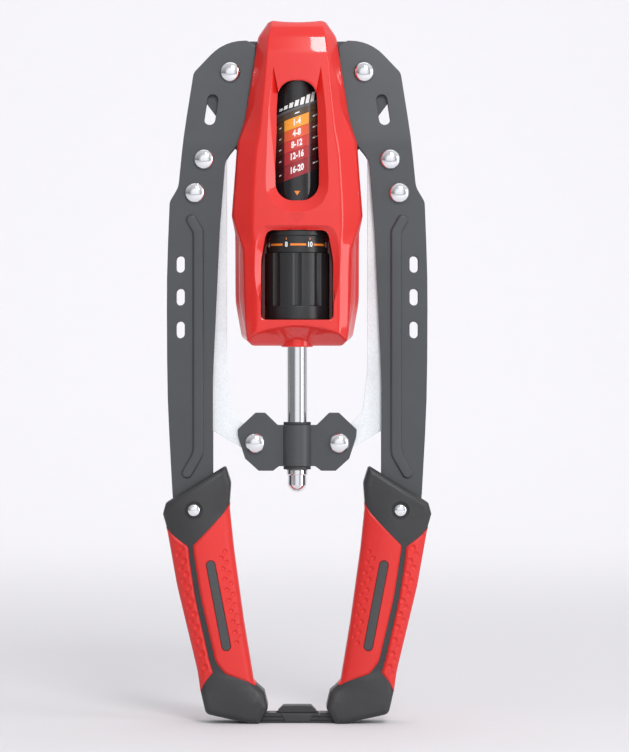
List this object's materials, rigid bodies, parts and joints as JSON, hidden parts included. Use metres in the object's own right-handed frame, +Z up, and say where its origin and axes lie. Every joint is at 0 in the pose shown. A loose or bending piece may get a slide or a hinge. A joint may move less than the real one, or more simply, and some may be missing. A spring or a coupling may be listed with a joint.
{
  "type": "hand grip strengthener",
  "caption": "Two-arm squeeze trainer: linked plate arms with moulded handles work a hydraulic rod, with a resistance dial and a closing latch.",
  "frame": {"origin": "on the surface it stands on, below the damper's axis", "axes": "+Z up the damper's rod towards the top of the housing, +X to the right arm, -Y is the front with the scale window"},
  "size_m": [0.1986, 0.055, 0.5196],
  "materials": {
    "powder_coated_steel": "satin dark grey powder coat",
    "link_steel": "pale zinc plate with a fine satin texture",
    "chrome": "polished chrome",
    "zinc_steel": "machined, zinc plated",
    "aluminium": "turned aluminium",
    "spring_steel": "bright drawn wire",
    "brass": "machined",
    "red_shell": "glossy red moulding",
    "black_plastic": "fine spark-textured black",
    "red_rubber": "matt overmoulded rubber",
    "black_rubber": "matt",
    "seal_rubber": "smooth",
    "scale_print": "printed film"
  },
  "bodies": {
    "core": {"cylinder_tube": "aluminium", "cylinder_end_cap": "aluminium", "end_cap_o_ring": "seal_rubber", "cylinder_head": "aluminium", "head_o_ring": "seal_rubber", "rod_seal": "seal_rubber", "rod_wiper": "seal_rubber", "top_yoke": "powder_coated_steel", "pivot_bushes": "brass", "yoke_bolts": "zinc_steel", "scale_label": "scale_print", "housing_front": "red_shell", "housing_back": "red_shell", "housing_screws": "zinc_steel", "rod_ferrule": "red_shell", "knob_retainer": "zinc_steel", "detent_ball": "spring_steel", "detent_spring": "spring_steel"},
    "knob": {"adjusting_knob": "black_plastic", "dial_ring": "black_plastic", "metering_sleeve": "brass"},
    "slider": {"piston_rod": "chrome", "piston": "aluminium", "piston_ring": "seal_rubber", "piston_nut": "zinc_steel", "slider_plate_front": "powder_coated_steel", "slider_plate_back": "powder_coated_steel", "slider_bush": "black_plastic", "slider_rivets": "chrome", "rod_end_cap": "chrome"},
    "left_arm": {"left_arm_front_plate": "powder_coated_steel", "left_arm_back_plate": "powder_coated_steel", "left_arm_rivets": "chrome", "left_pivot_rivet": "chrome", "left_arm_spacer": "zinc_steel", "left_handle_core": "black_plastic", "left_outer_grip": "red_rubber", "left_inner_grip": "red_rubber", "left_grip_inlays": "black_rubber", "left_handle_rivet": "chrome", "latch_socket": "black_plastic"},
    "right_arm": {"right_arm_front_plate": "powder_coated_steel", "right_arm_back_plate": "powder_coated_steel", "right_arm_rivets": "chrome", "right_pivot_rivet": "chrome", "right_arm_spacer": "zinc_steel", "right_handle_core": "black_plastic", "right_outer_grip": "red_rubber", "right_inner_grip": "red_rubber", "right_grip_inlays": "black_rubber", "right_handle_rivet": "chrome", "latch_fork": "black_plastic"},
    "left_link": {"left_link": "link_steel", "left_link_bush": "brass"},
    "right_link": {"right_link": "link_steel", "right_link_bush": "brass"},
    "latch_button": {"latch_tab": "black_plastic", "latch_spring": "spring_steel"}
  },
  "joints": [
    {"name": "left_arm_fold", "type": "hinge", "parent": "core", "child": "left_arm", "pos_m": [-0.0495, 0, 0.4824], "axis": [0, 1, 0], "range_deg": [0, 45]},
    {"name": "right_arm_fold", "type": "hinge", "parent": "core", "child": "right_arm", "pos_m": [0.0495, 0, 0.4824], "axis": [0, -1, 0], "range_deg": [0, 45]},
    {"name": "rod_slide", "type": "slide", "parent": "core", "child": "slider", "axis": [0, 0, 1], "range_m": [0, 0.0413]},
    {"name": "left_link_swing", "type": "hinge", "parent": "slider", "child": "left_link", "pos_m": [-0.0312, 0, 0.2072], "axis": [0, -1, 0], "range_deg": [0, 11.73]},
    {"name": "right_link_swing", "type": "hinge", "parent": "slider", "child": "right_link", "pos_m": [0.0312, 0, 0.2072], "axis": [0, 1, 0], "range_deg": [0, 11.73]},
    {"name": "knob_turn", "type": "hinge", "parent": "core", "child": "knob", "pos_m": [0, 0, 0.33], "axis": [0, 0, 1], "range_deg": [-157.5, 157.5]},
    {"name": "latch_press", "type": "slide", "parent": "left_arm", "child": "latch_button", "axis": [0, 0, -1], "range_m": [0, 0.0012], "stiffness_N_per_m": 500, "springref_m": -0.002, "deforming": ["latch_spring"]}
  ],
  "couplings": [
    {"joint": "right_arm_fold", "follows": "left_arm_fold", "ratio": 1},
    {"joint": "rod_slide", "follows": "left_arm_fold", "m_per_rad": 0.052585},
    {"joint": "left_link_swing", "follows": "left_arm_fold", "ratio": 0.26067},
    {"joint": "right_link_swing", "follows": "left_arm_fold", "ratio": 0.26067}
  ]
}
